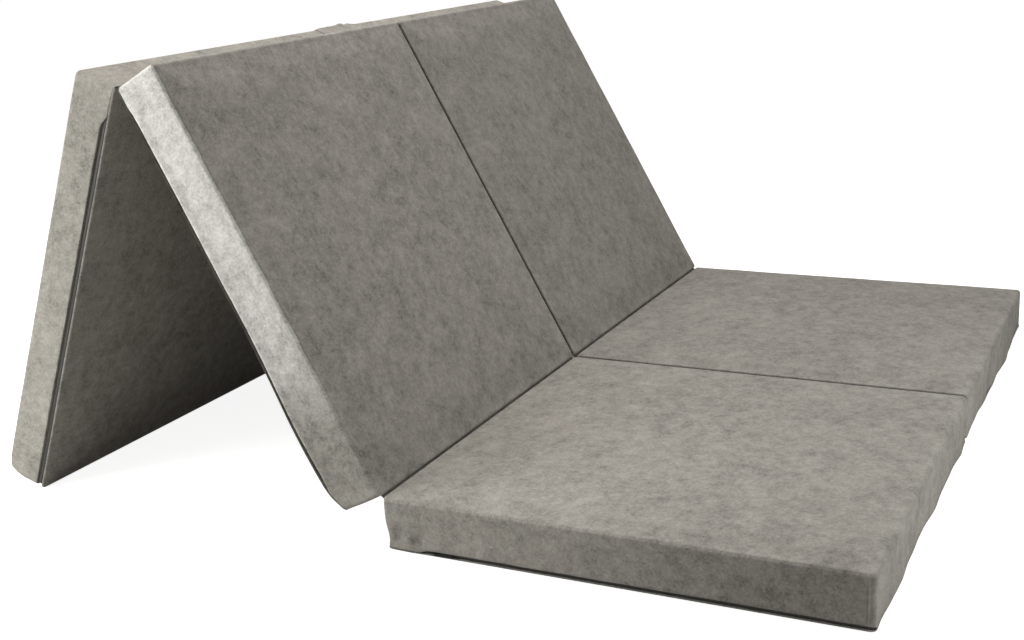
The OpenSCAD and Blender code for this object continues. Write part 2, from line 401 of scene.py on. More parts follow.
# Places where slack cloth leaves the block's true form, in its own frame: centre, spread, move
DENTS = {
    "seat": [
        ((0.001, 0.0, 0.012), (0.016, 0.020, 0.020), (0.0045, 0.002, 0.0)),
        ((0.046, 0.0, 0.018), (0.013, 0.02, 0.013), (0.0, -0.0030, 0.0)),
    ],
    "back": [
        ((0.651, 0.0, 0.0), (0.022, 0.030, 0.030), (-0.001, 0.0055, 0.0050)),
        ((0.540, 0.0, 0.000), (0.110, 0.060, 0.040), (0.0, -0.0010, -0.0060)),
    ],
    "head": [
        ((0.001, 0.0, 0.045), (0.03, 0.04, 0.022), (-0.0022, 0.0, 0.0)),
        ((0.001, 0.0, 0.072), (0.016, 0.02, 0.016), (0.003, 0.002, -0.002)),
    ],
}

# Creases in the boxing, in the block's own frame: from, to, width, depth
FURROWS = {
    "seat": [
        ((0.016, 0, 0.010), (0.030, 0, 0.042), 0.0050, 0.0036),
        ((0.040, 0, 0.012), (0.046, 0, 0.030), 0.0050, -0.0026),
        ((0.058, 0, 0.018), (0.070, 0, 0.044), 0.0055, 0.0024),
        ((0.300, 0, 0.012), (0.290, 0, 0.058), 0.0100, 0.0012),
        ((0.545, 0, 0.014), (0.530, 0, 0.056), 0.0100, 0.0014),
        ((0.651, 0.20, 0.008), (0.651, 0.18, 0.060), 0.0110, 0.0022),
        ((0.651, 0.27, 0.006), (0.651, 0.29, 0.050), 0.0090, 0.0018),
        ((0.651, 0.43, 0.006), (0.651, 0.41, 0.055), 0.0120, 0.0020),
    ],
    "back": [
        ((0.640, 0, 0.056), (0.600, 0, 0.026), 0.0060, 0.0046),
        ((0.640, 0, 0.034), (0.614, 0, 0.012), 0.0050, 0.0034),
        ((0.606, 0, 0.060), (0.566, 0, 0.030), 0.0070, 0.0024),
        ((0.622, 0, 0.060), (0.588, 0, 0.036), 0.0060, -0.0026),
        ((0.560, 0, 0.056), (0.530, 0, 0.024), 0.0100, 0.0020),
        ((0.646, 0.010, 0.0705), (0.600, 0.050, 0.072), 0.0080, 0.0014),
        ((0.180, 0, 0.014), (0.160, 0, 0.052), 0.0090, 0.0010),
        ((0.618, 0.46, 0.072), (0.596, 0.61, 0.072), 0.0120, 0.0012),
        ((0.640, 0.40, 0.072), (0.624, 0.58, 0.072), 0.0100, 0.0011),
        ((0.630, 0.06, 0.072), (0.560, 0.11, 0.072), 0.0130, 0.0012),
        ((0.420, 0, 0.012), (0.440, 0, 0.050), 0.0090, 0.0012),
    ],
    "head": [
        ((0.030, 0, 0.022), (0.052, 0, 0.052), 0.0070, 0.0013),
        ((0.360, 0, 0.018), (0.380, 0, 0.056), 0.0100, 0.0012),
    ],
}


def slacken(points, block, side):
    """Moves the points, given in the left-hand block's frame, by the slack of this block's cover."""
    moved = points.copy()
    if side == "left":
        for centre, spread, move in DENTS[block]:
            away = (points - np.array(centre)) / np.array(spread)
            moved += np.exp(-(away**2).sum(axis=1))[:, None] * np.array(move)
    if block == "seat":
        inward, upward, from_corner = 0.022, 0.034, 0.06
        bulge, wave_height, wave_rate, ripple_share, ripple_rate = 0.001, 0.0085, 5.5, 0.25, 16
        beside = (points[:, 0] - PITCH + END_GAP) / inward
        near = np.exp(-(beside**2) - (points[:, 2] / upward) ** 2)
        middle = np.clip(np.minimum(points[:, 1], WIDTH - points[:, 1]) / from_corner, 0, 1)
        line = np.stack([np.zeros(len(points)), points[:, 1], np.zeros(len(points))], 1)
        wave = ripple(line, 4 if side == "left" else 11, wave_rate)
        wave = wave + ripple_share * ripple(line, 6, ripple_rate)
        moved[:, 0] += near * middle * (bulge + wave_height * wave)
    column_reach, column_bulge = 0.012, 0.0012
    inner = np.exp(-(((points[:, 1] - WIDTH) / column_reach) ** 2))
    moved[:, 1] += column_bulge * inner * np.sin(np.pi * np.clip(points[:, 2] / HEIGHT, 0, 1))
    return moved


def flipped(points, side):
    """Turns points from a block's own frame to the left-hand block's, or back."""
    turned = points.copy()
    if side == "right":
        turned[:, 1] = WIDTH - turned[:, 1]
    return turned


# How far each kind of unevenness moves the cloth, and how many there are in a metre
SWELL, SWELL_RATE = 0.0006, 9
WRINKLE, WRINKLE_RATE, SLACK_RATE = 0.0010, 30, 5
FRONT_WAVE, FRONT_RATE = 0.0036, 7
SHOULDER, SHOULDER_RATE = 0.0005, 26
UNDERSIDE, UNDERSIDE_RATE = 0.0008, 7
# Wrinkles and waves of the boxing stand upright, so they are stretched in z
WRINKLE_STRETCH, FRONT_STRETCH = (1, 1, 0.22), (1, 1, 0.1)
SHOULDER_REACH = 0.012
# How far from a hinge the cloth is held
HINGE_REACH = 0.05
# Where the front's waves and the hold of the column gap start, before the block's end, and how they grow
FRONT_START, FRONT_REACH = 0.02, 0.015
INNER_START, INNER_REACH = 0.02, 0.01
# How far the boxing hangs over the zip that it hides, and the height and spread of that bulge
OVERHANG = {"head": 0, "back": 0.0030, "seat": 0.0022}
OVERHANG_HEIGHT, OVERHANG_SPREAD = 0.009, 0.008
# How much of the unevenness held cloth loses, and how much of its creases the far column has
HELD_LOSS, GAP_HOLD, FAR_CREASES = 0.8, 0.7, 0.6


def held_share(local, walls, block):
    """How much the hinges and the neighbouring column hold the cloth still, from 0 to 1."""
    inner = np.clip((local[:, 1] - WIDTH + INNER_START) / INNER_REACH, 0, 1)
    low_end = 1 - local[:, 0] / HINGE_REACH
    high_end = 1 - (PITCH - local[:, 0]) / HINGE_REACH
    folds = {"head": [high_end], "back": [low_end, high_end], "seat": [low_end]}[block]
    hinged = np.clip(np.max(folds, axis=0), 0, 1)
    at_end = np.clip(hinged * 5 - 4, 0, 1)
    return np.maximum(GAP_HOLD * inner, np.where(walls > 0.5, at_end, hinged))


def front_seam(local, walls, low):
    """The upright seam of the seat's boxing, beside its front corner."""
    place, width, depth = PITCH - END_GAP - CORNER - SEAM_STEP, 0.0011, 0.0009
    beside = walls * np.clip(low * 8 - 0.7, 0, 1)
    return -beside * depth * np.exp(-(((local[:, 0] - place) / width) ** 2))


def soften(piece, block, side, seed):
    """Sculpts the slack of the cloth: wide swells, upright wrinkles in the boxing, and its creases."""
    points, normals = coords(piece), vertex_normals(piece)
    local = flipped(points, side)
    push = SWELL * ripple(local, seed, SWELL_RATE)
    walls = np.clip(1 - np.abs(normals[:, 2]) * 1.6, 0, 1)
    low = np.clip((HEIGHT - local[:, 2]) / HEIGHT, 0, 1)
    upright = ripple(local, seed + 5, WRINKLE_RATE, WRINKLE_STRETCH)
    slack = np.clip(ripple(local, seed + 9, SLACK_RATE) + 0.35, 0, 1)
    push += walls * (0.25 + low) * WRINKLE * upright * (0.35 + slack)
    front = np.clip((local[:, 0] - PITCH + FRONT_START) / FRONT_REACH, 0, 1) * walls
    push += front * low * FRONT_WAVE * ripple(local, seed + 13, FRONT_RATE, FRONT_STRETCH)
    shoulders = np.clip(1 - np.abs(local[:, 2] - HEIGHT + TOP_EDGE) / SHOULDER_REACH, 0, 1)
    push += SHOULDER * shoulders * ripple(local, seed + 17, SHOULDER_RATE)
    push *= 1 - HELD_LOSS * held_share(local, walls, block)
    if block == "seat":
        push += front_seam(local, walls, low)
    for a, b, width, depth in FURROWS[block]:
        push += furrow(local, a, b, width, depth if side == "left" else FAR_CREASES * depth)
    over_zip = np.exp(-(((local[:, 2] - OVERHANG_HEIGHT) / OVERHANG_SPREAD) ** 2))
    push += OVERHANG[block] * over_zip * walls * zip_share(block, local[:, 0], local[:, 1])
    local = flipped(points + normals * push[:, None], side)
    set_coords(piece, flipped(slacken(local, block, side), side))


def paint_boxing_light_and_shade(piece, block, side):
    """Gives the outer boxing of the back and the seat its suede with painted light, and the inner sides,
    which face the other column, the suede with painted shade.
    """
    outer_from, inner_from = 0.55, 0.75
    for material in (SUEDE_PAINTED_BOXING_LIGHT.get(block, SUEDE), SUEDE_PAINTED_SHADE):
        piece.data.materials.append(material)
    outer = -1 if side == "left" else 1
    # Faces turned outward on the back and seat take painted light; faces turned towards the other column
    # take painted shade
    for face in piece.data.polygons:
        beside = face.normal.y * outer
        if beside > outer_from and block in SUEDE_PAINTED_BOXING_LIGHT:
            face.material_index = 1
        if beside < -inner_from:
            face.material_index = 2


def rest_on_floor(piece):
    """Lifts what the cloth's slack has put below the floor."""
    clear = 0.0002
    points, row = coords(piece), piece.matrix_world[2]
    up = np.array(row[:3])
    sunk = np.minimum(points @ up + row[3] - clear, 0)
    set_coords(piece, points - sunk[:, None] * up)


def panel_rise(panel):
    """How far a panel's grid points stand proud: most in the middle, and nothing at the rim."""
    swell = (1 - np.abs(2 * panel.u - 1) ** 3) * (1 - np.abs(2 * panel.v - 1) ** 3)
    return RISE * swell.ravel()


def make_cover(block, side, seed):
    """The zip-off cover: top panel and boxing in one piece of cloth."""
    panel, points, faces = cover_points(block)
    points[: panel.u.size, 2] += panel_rise(panel)
    piece = new_piece(f"{block}_{side}_cover_cloth", points, faces, block, side)
    held = range(len(points) - len(COVER_HEM) * len(panel.ring), len(points))
    puff(piece, held)
    subdivide(piece)
    soften(piece, block, side, seed)
    rest_on_floor(piece)
    # The panel's suede, darkened as painted shade on the right-hand column and along the left-hand back
    # and seat
    nap = PAINTED_PANEL_SHADES.get((block, side), SUEDE)
    finish_piece(piece, f"{block}_{side}", nap, f"{block}_{side}_cover")
    paint_boxing_light_and_shade(piece, block, side)


def make_base(block, side, seed):
    """The base panel. A seat's lies flat on the floor, and the others sag a little."""
    panel, points, faces = base_points(block)
    if block != "seat":
        points[: panel.u.size, 2] -= panel_rise(panel)
    piece = new_piece(f"{block}_{side}_base_cloth", points, faces, block, side)
    subdivide(piece)
    if block != "seat":
        local, normals = coords(piece), vertex_normals(piece)
        inner = np.clip(np.minimum(local[:, 0], PITCH - local[:, 0]) / HINGE_REACH, 0, 1)
        push = UNDERSIDE * ripple(local, seed + 21, UNDERSIDE_RATE) * inner
        set_coords(piece, local + normals * push[:, None])
    set_coords(piece, flipped(slacken(flipped(coords(piece), side), block, side), side))
    rest_on_floor(piece)
    finish_piece(piece, f"{block}_{side}", SUEDE, f"{block}_{side}_base")


def make_foam(block, side):
    """The foam inside: a plain slab, a little smaller than its cover, that nothing shows."""
    corners = [
        (x, y, z)
        for x in (END_GAP + FOAM_ROOM, PITCH - END_GAP - FOAM_ROOM)
        for y in (FOAM_ROOM, WIDTH - FOAM_ROOM)
        for z in (FOAM_ROOM, HEIGHT - FOAM_ROOM)
    ]
    faces = [(0, 1, 3, 2), (4, 6, 7, 5), (0, 4, 5, 1), (2, 3, 7, 6), (0, 2, 6, 4), (1, 5, 7, 3)]
    piece = new_piece(f"{block}_{side}_foam_slab", corners, faces, block, side, smooth=False)
    edge = piece.modifiers.new("edge", "BEVEL")
    edge.width = FOAM_EDGE
    edge.segments = 3
    apply_modifiers(piece)
    finish_piece(piece, f"{block}_{side}", FOAM, f"{block}_{side}_foam")


def zip_path(block, depth, step):
    """Points (x, y, out x, out y) along a block's zip at a depth below the cover, from its first end."""
    start = ZIP_STARTS[block]
    far = PITCH - END_GAP
    if block == "back":
        stops = np.linspace(start, PITCH - start, max(2, round((PITCH - 2 * start) / step)))
        return np.array([(x, depth, 0, -1) for x in stops])
    straight = np.linspace(start, far - CORNER, max(2, round((far - CORNER - start) / step)))
    path = [(x, depth, 0, -1) for x in straight]
    radius = CORNER - depth
    for turn in np.linspace(0, math.pi / 2, max(4, round(radius * math.pi / 2 / step)) + 1)[1:-1]:
        out = (math.sin(turn), -math.cos(turn))
        path.append((far - CORNER + radius * out[0], CORNER + radius * out[1], *out))
    end = ZIP_ENDS[block]
    across = np.linspace(CORNER, end, max(2, round((end - CORNER) / step)))
    path += [(far - depth, y, 1, 0) for y in across]
    path = np.array(path)
    if block == "head":
        path[:, 0] = PITCH - path[:, 0]
        path[:, 2] = -path[:, 2]
    return path


def sweep(path, section):
    """Quads along a path. section holds (out, z) points, from low to high."""
    n, m = len(path), len(section)
    points = np.zeros((n, m, 3))
    for k, (out, z) in enumerate(section):
        points[:, k, 0] = path[:, 0] + path[:, 2] * out
        points[:, k, 1] = path[:, 1] + path[:, 3] * out
        points[:, k, 2] = z
    i, k = np.meshgrid(np.arange(n - 1), np.arange(m - 1), indexing="ij")
    a = (i * m + k).ravel()
    return points.reshape(-1, 3), np.stack([a, a + m, a + m + 1, a + 1], 1)


def make_zip_tape(block, side):
    """Two woven tapes with ribs along them, which meet under the coil."""
    ribs, rib_height, rib_share, crest = 4, 0.0005, 0.36, 0.4
    step, joint, under_lip = 0.006, 0.0004, 0.0008
    low, high = LIPS[block] - under_lip, ZIP_TOP + HEM
    half = ZIP_MIDDLE - LIP + HEM
    reach = half / ribs * rib_share
    shape = ((0.0, -reach), (rib_height, -reach * crest), (rib_height, reach * crest), (0.0, reach))
    ridges = [(out, half * (rib + 0.5) / ribs + z) for rib in range(ribs) for out, z in shape]
    section = [(-ZIP_TAPE, low), (0, low)]
    section += [(out, ZIP_MIDDLE - z) for out, z in reversed(ridges)]
    section.append((-joint, ZIP_MIDDLE))
    section += [(out, ZIP_MIDDLE + z) for out, z in ridges]
    section += [(0, high), (-ZIP_TAPE, high)]
    points, faces = sweep(zip_path(block, ZIP_DEPTH, step), section)
    if block == "head":
        faces = faces[:, ::-1]
    piece = new_piece(f"{block}_{side}_zip_tape_woven", points, faces, block, side)
    finish_piece(piece, f"{block}_{side}", ZIP_CLOTH, f"{block}_{side}_zip_tape")


def make_zip_coil(block, side):
    """The closed coil: a row of teeth, laid from either tape in turn over a thin cord."""
    tooth_share, sway, tack_room = 0.36, 0.00035, 3
    half = COIL_WIDTH / 2 - sway
    shoulder = (COIL_HEIGHT * 0.8, half * 0.8)
    profile = ((0.0, -half), (shoulder[0], -shoulder[1]), (COIL_HEIGHT, 0), shoulder, (0.0, half))
    path = zip_path(block, ZIP_DEPTH, COIL_PITCH)[tack_room:-tack_room]
    points, faces = [], []
    for number, (x, y, ox, oy) in enumerate(path):
        along = np.array((-oy, ox)) * COIL_PITCH * tooth_share
        middle = SLITS[block] + (sway if number % 2 else -sway)
        base = len(points)
        for sense in (-1, 1):
            for out, z in profile:
                px, py = x + ox * out + sense * along[0], y + oy * out + sense * along[1]
                points.append((px, py, middle + z))
        for k in range(4):
            faces.append((base + k, base + k + 1, base + k + 6, base + k + 5))
        faces.append((base + 4, base + 3, base + 2, base + 1, base))
        faces.append((base + 5, base + 6, base + 7, base + 8, base + 9))
    if block == "head":
        faces = [tuple(reversed(f)) for f in faces]
    piece = new_piece(f"{block}_{side}_zip_teeth", points, faces, block, side, smooth=False)
    finish_piece(piece, f"{block}_{side}", ZIP_COIL, f"{block}_{side}_zip_coil")


def make_zip_tacks(block, side):
    """The stitched bars across the tapes at both ends of a zip."""
    stitch, edge_lift, middle_lift = 0.001, 0.0009, 0.0014
    path = zip_path(block, ZIP_DEPTH, stitch)
    count = round(TACK / stitch)
    low, high = LIPS[block] + HEM_ROOM, HEMS[block] - HEM_ROOM
    points, faces = [], []
    for run in (path[:count], path[-count:]):
        for number, (x, y, ox, oy) in enumerate(run[:-1]):
            nx, ny = run[number + 1][:2]
            base = len(points)
            stops = ((x, y, edge_lift), ((x + nx) / 2, (y + ny) / 2, middle_lift), (nx, ny, edge_lift))
            for px, py, lift in stops:
                points += [(px + ox * lift, py + oy * lift, z) for z in (low, high)]
            faces += [(base, base + 2, base + 3, base + 1), (base + 2, base + 4, base + 5, base + 3)]
    if block == "head":
        faces = [tuple(reversed(f)) for f in faces]
    piece = new_piece(f"{block}_{side}_zip_bars", points, faces, block, side)
    finish_piece(piece, f"{block}_{side}", ZIP_CLOTH, f"{block}_{side}_zip_tacks")


def make_zip_metal(block, side, part):
    """A slider or its pull, in the CAD's own shape, but slimmed to run in the slit of the cloth."""
    node = frame["nodes"][f"{block}_{side}_zip_{part}"]
    slim = min(1.0, (HEMS[block] - LIPS[block] - 2 * HEM_ROOM) / SLIDER_WIDTH)
    place = block_matrix(block, side)
    mesh = node.data.copy()
    for vertex in mesh.vertices:
        point = place.inverted() @ vertex.co
        point.z = SLITS[block] + (point.z - ZIP_MIDDLE) * slim
        vertex.co = place @ point
    mesh.update()
    piece = add_object(f"{block}_{side}_zip_{part}_metal", mesh)
    finish_piece(piece, f"{block}_{side}_{part}", ZIP_METAL, node.name)


def free_mesh(name, points, faces, material):
    """A mesh object whose points are already in the frame, for cloth that lies between bodies."""
    mesh = bpy.data.meshes.new(name)
    mesh.from_pydata([tuple(p) for p in points], [], faces)
    mesh.update()
    mesh.shade_smooth()
    mesh.materials.append(material)
    return add_object(name, mesh)


def grid_faces(rows, columns, turned):
    """Quads of a grid of points that is laid row by row."""
    faces = []
    for row in range(rows):
        for column in range(columns):
            a = row * (columns + 1) + column
            quad = (a, a + 1, a + columns + 2, a + columns + 1)
            faces.append(tuple(reversed(quad)) if turned else quad)
    return faces


def spin(x, z, turn):
    """(x, z) turned about the Y axis."""
    return x * math.cos(turn) + z * math.sin(turn), z * math.cos(turn) - x * math.sin(turn)


def hinge_strip(fold, side, pivot, reach, drop, turns):
    """A strip sewn in the groove of a fold. It is drawn flat, and each half is turned to the slope of its
    block.
    """
    columns, rows = 12, 150
    clear, edge_drop, flare_start, flare_width = 0.0002, 0.0007, 0.016, 0.009
    inner_sink, outer_sink, outer_reach = 0.0022, 0.002, 0.012
    gather_height, gather_rate, pucker_height, pucker_rate = 0.0005, 46, 0.0003, 150
    points = []
    start, end = 0.008 if drop > 0 else 0.003, WIDTH + COLUMN_GAP / 2 - clear
    for row in range(rows + 1):
        y = start + (end - start) * row / rows
        flare = max(0.0, 1 - (WIDTH - y) / flare_start)
        width = reach + flare_width * min(1.0, flare) ** 0.7
        gather = gather_height * noise.noise(Vector((y * gather_rate, 3.1, pivot.x)))
        gather += pucker_height * noise.noise(Vector((y * pucker_rate, 7.7, 0)))
        sink = inner_sink * min(1.0, flare * 1.5) + outer_sink * max(0.0, 1 - y / outer_reach)
        place = SIDE_STARTS[side] + (y if side == "left" else WIDTH - y)
        for column in range(columns + 1):
            s = 2 * column / columns - 1
            z = (gather if drop > 0 else -gather) * (1 - s * s)
            z -= drop * (1 - abs(s) ** 1.5) + math.copysign(edge_drop, drop) * abs(s)
            z -= math.copysign(sink, drop)
            dx, dz = spin(s * width, z, turns[0] if s < 0 else turns[1])
            points.append((pivot.x + dx, place, pivot.z + dz))
    faces = grid_faces(rows, columns, side == "right")
    # The strip's suede is darkened as painted shade in the groove of the fold
    piece = free_mesh(f"{fold}_strip_{side}", points, faces, SUEDE_PAINTED_FOLD_SHADE)
    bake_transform(piece)
    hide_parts(f"{fold}_seam_{side}")


def smooth_step(share):
    """0 to 1 with a soft start and end."""
    return share * share * (3 - 2 * share)


def join_strip():
    """The strip that joins the columns, along the heads' outer panels, and bunched at their upper ends."""
    rise, tail, start, flare = 0.0015, 0.030, 0.014, 0.036
    bunch_start, bunch_length, bunch_lift, fold_height = 0.02, 0.025, 0.0006, 0.0060
    fold_rate, slant, spacing, pressed_lie = 30, 34, 12, 0.0007
    dip_depth, dip_width, grain_height, rim_drop = 0.0012, 0.003, 0.0004, 0.0012
    rows, columns = 330, 48
    half = JOIN_LEAF + COLUMN_GAP / 2
    flat_end = PITCH - END_GAP - TOP_EDGE
    straight = flat_end - start
    bend = (TOP_EDGE + rise) * math.pi / 2
    length = straight + bend + tail
    head = block_matrix("head", "left")
    points = []
    for row in range(rows + 1):
        s = length * row / rows
        bunch = float(np.clip((s - straight + bunch_start) / bunch_length, 0, 1))
        pressed = float(np.clip((s - straight) / bend * 1.8 - 0.8, 0, 1))
        spread = half + flare * smooth_step(bunch)
        for column in range(columns + 1):
            across = 2 * column / columns - 1
            away = spread * across
            gap_dip = dip_depth * math.exp(-((away / dip_width) ** 2))
            folds = abs(noise.noise(Vector((s * fold_rate + slant * away, away * spacing, 1.7))))
            folds += abs(noise.noise(Vector((s * fold_rate - slant * away, away * spacing, 5.2))))
            lie = rise - gap_dip + grain_height * noise.noise(Vector((s * 24, away * 60, 9.1)))
            lie += bunch * (1 - abs(across) ** 3) * (bunch_lift + fold_height * folds)
            lie -= rim_drop * bunch * abs(across) ** 6
            lie += (pressed_lie - lie) * smooth_step(pressed)
            if s < straight:
                x, z = start + s, HEIGHT + lie
            elif s < straight + bend:
                angle = (s - straight) / (TOP_EDGE + rise)
                x = flat_end + (TOP_EDGE + lie) * math.sin(angle)
                z = HEIGHT - TOP_EDGE + (TOP_EDGE + lie) * math.cos(angle)
            else:
                x, z = flat_end + TOP_EDGE + lie, HEIGHT - TOP_EDGE - (s - straight - bend)
            points.append(tuple(head @ Vector((x, WIDTH + COLUMN_GAP / 2 + away, z))))
    piece = free_mesh("join_strip", points, grid_faces(rows, columns, True), SUEDE)
    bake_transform(piece)
    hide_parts("join_tape_left", "join_tape_right")


def finish_piece(piece, body, material, node):
    """Gives a piece its material and its body, and hides the CAD node that it stands for."""
    piece.data.materials.clear()
    piece.data.materials.append(material)
    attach(piece, body)
    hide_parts(node)


# ---- Materials ------------------------------------------------------------------


def node_tree(name):
    """A new material with its nodes, its links and its main shader."""
    material = bpy.data.materials.new(name)
    material.use_nodes = True
    nodes, links = material.node_tree.nodes, material.node_tree.links
    return material, nodes, links, nodes["Principled BSDF"]


def mapped(nodes, links, stretch):
    """The object's own coordinates, stretched."""
    place = nodes.new("ShaderNodeTexCoord")
    mapping = nodes.new("ShaderNodeMapping")
    mapping.inputs["Scale"].default_value = stretch
    links.new(place.outputs["Object"], mapping.inputs["Vector"])
    return mapping.outputs["Vector"]


def noise_node(nodes, links, vector, scale, detail, roughness=0.55, distortion=0.0):
    """A noise texture's value."""
    texture = nodes.new("ShaderNodeTexNoise")
    texture.inputs["Scale"].default_value = scale
    texture.inputs["Detail"].default_value = detail
    texture.inputs["Roughness"].default_value = roughness
    texture.inputs["Distortion"].default_value = distortion
    links.new(vector, texture.inputs["Vector"])
    return texture.outputs["Fac"]


def blend_values(nodes, links, a, b, share):
    """Two values mixed, by the share of the second."""
    mix = nodes.new("ShaderNodeMix")
    mix.inputs["Factor"].default_value = share
    links.new(a, mix.inputs["A"])
    links.new(b, mix.inputs["B"])
    return mix.outputs["Result"]


def ramp(nodes, links, value, stops):
    """Colours for a value. stops holds (place, colour) pairs."""
    band = nodes.new("ShaderNodeValToRGB")
    points = band.color_ramp.elements
    while len(points) < len(stops):
        points.new(0.5)
    for point, (place, colour) in zip(points, stops):
        point.position = place
        point.color = (*colour, 1)
    links.new(value, band.inputs["Fac"])
    return band.outputs["Color"]


def bump(nodes, links, height, distance, strength, under=None):
    """Surface relief from a height value, over the relief in under."""
    node = nodes.new("ShaderNodeBump")
    node.inputs["Distance"].default_value = distance
    node.inputs["Strength"].default_value = strength
    links.new(height, node.inputs["Height"])
    if under is not None:
        links.new(under, node.inputs["Normal"])
    return node.outputs["Normal"]


CLOTH_TONE = (0.288, 0.266, 0.236)
# Shades of the mottled nap, as (place on the ramp, brightness)
NAP_SHADES = ((0.38, 0.48), (0.455, 0.84), (0.52, 1.07), (0.62, 1.40))


def nap_colour(nodes, links, mottle, tone):
    """The mottled colour of a nap with this tone."""
    stops = [(at, [c * shade for c in tone]) for at, shade in NAP_SHADES]
    return ramp(nodes, links, mottle, stops)


def faded_colour(nodes, links, near, far, between):
    """One colour that turns into another along the block's length, between two places."""
    place = nodes.new("ShaderNodeTexCoord")
    split = nodes.new("ShaderNodeSeparateXYZ")
    fade = nodes.new("ShaderNodeMapRange")
    fade.interpolation_type = "SMOOTHSTEP"
    fade.inputs["From Min"].default_value, fade.inputs["From Max"].default_value = between
    links.new(place.outputs["Object"], split.inputs[0])
    links.new(split.outputs["X"], fade.inputs["Value"])
    mix = nodes.new("ShaderNodeMix")
    mix.data_type = "RGBA"
    # In its colour form the node's two colours are inputs 6 and 7, and its result is output 2
    links.new(fade.outputs["Result"], mix.inputs["Factor"])
    links.new(near, mix.inputs[6])
    links.new(far, mix.inputs[7])
    return mix.outputs[2]


def suede(name, share, far_brightness=None, between=None, tint=(1, 1, 1)):
    """Short-napped suede cloth: mottled patches where the nap lies differently, and a soft sheen.
    share scales its brightness, which the brighter and darker copies use as painted light and shade. Along
    the block it can turn to a second brightness, over the places in between, as painted light and shade."""
    material, nodes, links, shader = node_tree(name)
    along = mapped(nodes, links, (1.0, 0.85, 1.0))
    even = mapped(nodes, links, (1, 1, 1))
    clouds = noise_node(nodes, links, along, 13, 4, 0.6, 0.3)
    patches = noise_node(nodes, links, along, 58, 6, 0.75, 0.2)
    grain = noise_node(nodes, links, even, 270, 4, 0.8)
    mottle = blend_values(nodes, links, clouds, patches, 0.70)
    mottle = blend_values(nodes, links, mottle, grain, 0.38)
    colour = nap_colour(nodes, links, mottle, [share * c * t for c, t in zip(CLOTH_TONE, tint)])
    # The second brightness along the block is painted light and shade
    if far_brightness:
        far_colour = nap_colour(nodes, links, mottle, [far_brightness * c for c in CLOTH_TONE])
        colour = faded_colour(nodes, links, colour, far_colour, between)
    links.new(colour, shader.inputs["Base Color"])
    shader.inputs["Roughness"].default_value = 0.95
    shader.inputs["Specular IOR Level"].default_value = 0.12
    shader.inputs["Sheen Weight"].default_value = 0.25
    shader.inputs["Sheen Roughness"].default_value = 0.5
    shader.inputs["Sheen Tint"].default_value = (0.95, 0.93, 0.88, 1)
    nap = bump(nodes, links, grain, 0.0006, 0.45)
    links.new(bump(nodes, links, patches, 0.0014, 0.35, nap), shader.inputs["Normal"])
    return material


def plain(name, colour, roughness, bump_scale, bump_depth, metallic=0.0):
    """A plain finish with a slight unevenness in its colour and surface."""
    uneven = 0.2
    material, nodes, links, shader = node_tree(name)
    even = mapped(nodes, links, (1, 1, 1))
    spots = noise_node(nodes, links, even, bump_scale, 3)
    dark, light = [c * (1 - uneven) for c in colour], [min(1, c * (1 + uneven)) for c in colour]
    stops = [(0.35, dark), (0.65, light)]
    links.new(ramp(nodes, links, spots, stops), shader.inputs["Base Color"])
    shader.inputs["Roughness"].default_value = roughness
    shader.inputs["Metallic"].default_value = metallic
    links.new(bump(nodes, links, spots, bump_depth, 0.4), shader.inputs["Normal"])
    return material


SUEDE = suede("suede", 1.0)
# The same cloth darkened as painted shade: on the sides between the columns, and on the strips in the
# grooves of the folds
SUEDE_PAINTED_SHADE = suede("suede_painted_shade", 0.32)
SUEDE_PAINTED_FOLD_SHADE = suede("suede_painted_fold_shade", 0.55)
# The outer boxing of the back and the seat with painted light: the back's is brightened and cooled near
# the apex and dims along the block, and the seat's darkens towards its front
SUEDE_PAINTED_BOXING_LIGHT = {
    "back": suede("suede_back_boxing_painted_light", 2.02, 1.12, (0.38, 0.58), (1.0, 1.035, 1.10)),
    "seat": suede("suede_seat_boxing_painted_shade", 1.08, 0.80, (0.18, 0.62)),
}
# Each panel's suede with painted shade: the right-hand column darker, and the left-hand back and seat
# darkening along the block towards the crease and the front
PAINTED_PANEL_SHADES = {
    ("back", "left"): suede("suede_back_left_painted_shade", 1.0, 0.93, (0.36, 0.62)),
    ("back", "right"): suede("suede_back_right_painted_shade", 0.93),
    ("seat", "left"): suede("suede_seat_left_painted_shade", 1.04, 0.91, (0.22, 0.62)),
    ("seat", "right"): suede("suede_seat_right_painted_shade", 0.94),
}
ZIP_CLOTH = plain("zip_tape", (0.125, 0.116, 0.102), 0.9, 900, 0.0004)
ZIP_COIL = plain("zip_coil", (0.060, 0.057, 0.052), 0.5, 1500, 0.0002)
ZIP_METAL = plain("zip_enamel", (0.015, 0.015, 0.015), 0.35, 300, 0.0001, 0.3)
FOAM = plain("foam", (0.80, 0.74, 0.55), 1.0, 420, 0.0015)

# ---- The mattress -----------------------------------------------------------------

BLOCKS = ("head", "back", "seat")
SIDES = ("left", "right")
HEAD_TURN = -math.atan2(JOIN_AXIS.z, JOIN_AXIS.x)
# How far each strip reaches to either side of its fold's line, and how deep it lies in the groove
APEX_REACH, APEX_DROP = 0.0062, -0.0016
CREASE_REACH, CREASE_DROP = 0.0046, 0.0034
for turn, side in enumerate(SIDES):
    for row, block in enumerate(BLOCKS):
        seed = 1 + len(BLOCKS) * turn + row
        make_cover(block, side, seed)
        make_base(block, side, seed)
        make_foam(block, side)
        make_zip_tape(block, side)
        make_zip_coil(block, side)
        make_zip_tacks(block, side)
        make_zip_metal(block, side, "slider")
        make_zip_metal(block, side, "pull")
    hinge_strip("apex", side, APEX, APEX_REACH, APEX_DROP, (HEAD_TURN, back_slope()))
    hinge_strip("crease", side, CREASE, CREASE_REACH, CREASE_DROP, (back_slope(), 0.0))
join_strip()

# ---- Camera, floor and light --------------------------------------------------------


